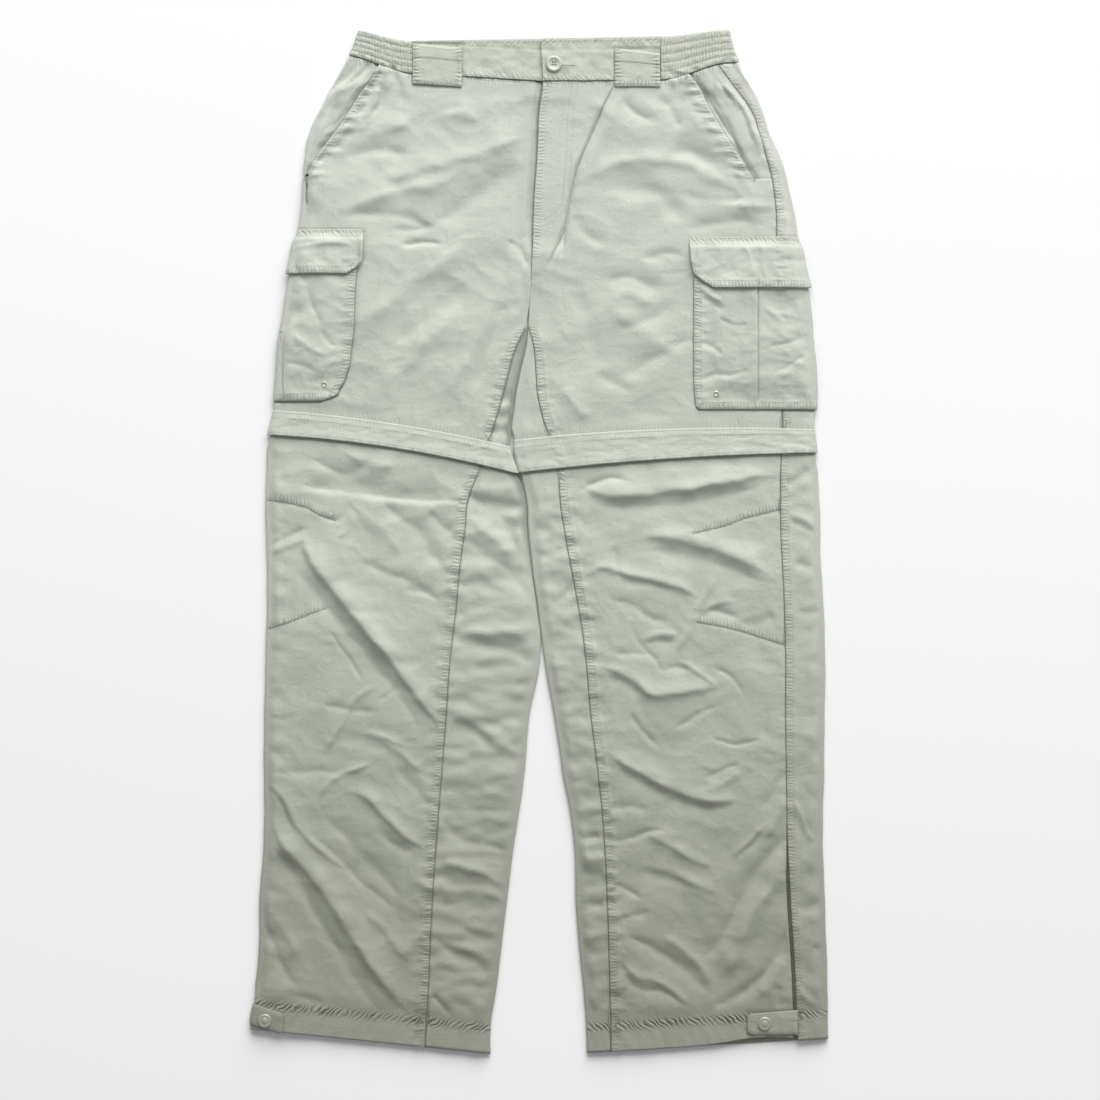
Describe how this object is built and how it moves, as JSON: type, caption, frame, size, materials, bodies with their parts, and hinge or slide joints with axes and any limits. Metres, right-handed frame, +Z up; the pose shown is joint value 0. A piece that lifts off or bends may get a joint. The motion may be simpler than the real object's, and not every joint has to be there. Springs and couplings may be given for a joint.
{
  "type": "convertible zip-off trousers",
  "caption": "Lightweight zip-off hiking trousers laid flat, front up, with a gathered waistband, slant and flap pockets, covered knee zips and hem tabs.",
  "frame": {"origin": "middle of the garment's outline, on the surface it lies on", "axes": "+Y towards the waist, +Z up out of the trousers' front, +X towards the right of the picture, which is the wearer's left"},
  "size_m": [0.6189, 1.094, 0.0152],
  "materials": {
    "upper_cloth": "soft matt woven nylon, pale sage",
    "waist_cloth": "soft matt woven nylon, sage",
    "lower_cloth": "soft matt woven nylon, sage, a little darker",
    "zip_tape": "woven zip tape with a nylon coil, grey-green",
    "button": "satin dyed plastic",
    "metal_trim": "satin painted metal, grey-green"
  },
  "bodies": {
    "root": {"front_panel_left": "upper_cloth", "front_panel_right": "upper_cloth", "back_panel_left": "upper_cloth", "back_panel_right": "upper_cloth", "pocket_facing_left": "upper_cloth", "pocket_facing_right": "upper_cloth", "waistband_front_left": "waist_cloth", "waistband_front_right": "waist_cloth", "waistband_back": "waist_cloth", "waist_elastic_left": "waist_cloth", "waist_elastic_right": "waist_cloth", "belt_loop_front_left": "waist_cloth", "belt_loop_front_right": "waist_cloth", "belt_loop_back_left": "waist_cloth", "belt_loop_back_centre": "waist_cloth", "belt_loop_back_right": "waist_cloth", "waist_button": "button", "cargo_pocket_left": "upper_cloth", "cargo_pocket_right": "upper_cloth", "cargo_flap_left": "upper_cloth", "cargo_flap_right": "upper_cloth", "eyelet_left": "metal_trim", "eyelet_right": "metal_trim", "knee_zip_left": "zip_tape", "knee_zip_right": "zip_tape", "knee_flap_left": "upper_cloth", "knee_flap_right": "upper_cloth", "lower_front_left": "lower_cloth", "lower_front_right": "lower_cloth", "lower_back_left": "lower_cloth", "lower_back_right": "lower_cloth", "ankle_zip_right": "zip_tape", "hem_tab_left": "lower_cloth", "hem_tab_right": "lower_cloth", "hem_snap_left": "metal_trim", "hem_snap_right": "metal_trim"}
  },
  "joints": []
}
